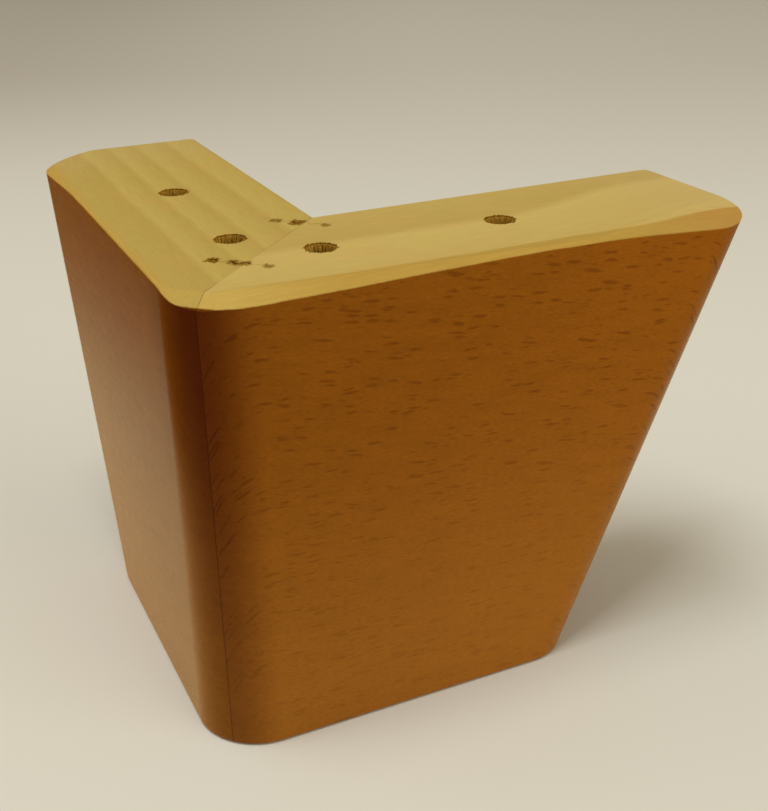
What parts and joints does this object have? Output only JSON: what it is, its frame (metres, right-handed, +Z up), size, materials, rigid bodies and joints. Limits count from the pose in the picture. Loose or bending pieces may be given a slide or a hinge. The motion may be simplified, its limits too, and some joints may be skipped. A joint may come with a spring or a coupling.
{
  "type": "furniture foot",
  "caption": "Wooden corner foot: an L of mitred boards with rounded corner and tapered ends, screwed up under furniture by blind holes in its bare top.",
  "frame": {"origin": "middle of the bounding box, on the plane of the sole", "axes": "+Z up from the sole to the bare top; the right arm runs along +X with its outer face to -Y, the left arm along +Y with its outer face to -X"},
  "size_m": [0.1294, 0.1294, 0.1],
  "materials": {
    "right_board": "beech with an orange-brown satin stain, bare on top",
    "left_board": "beech with an orange-brown satin stain, bare on top",
    "fastener_steel": "dull steel"
  },
  "bodies": {
    "root": {"right_board": "right_board", "left_board": "left_board", "inner_fastener": "fastener_steel", "outer_fastener": "fastener_steel"}
  },
  "joints": []
}
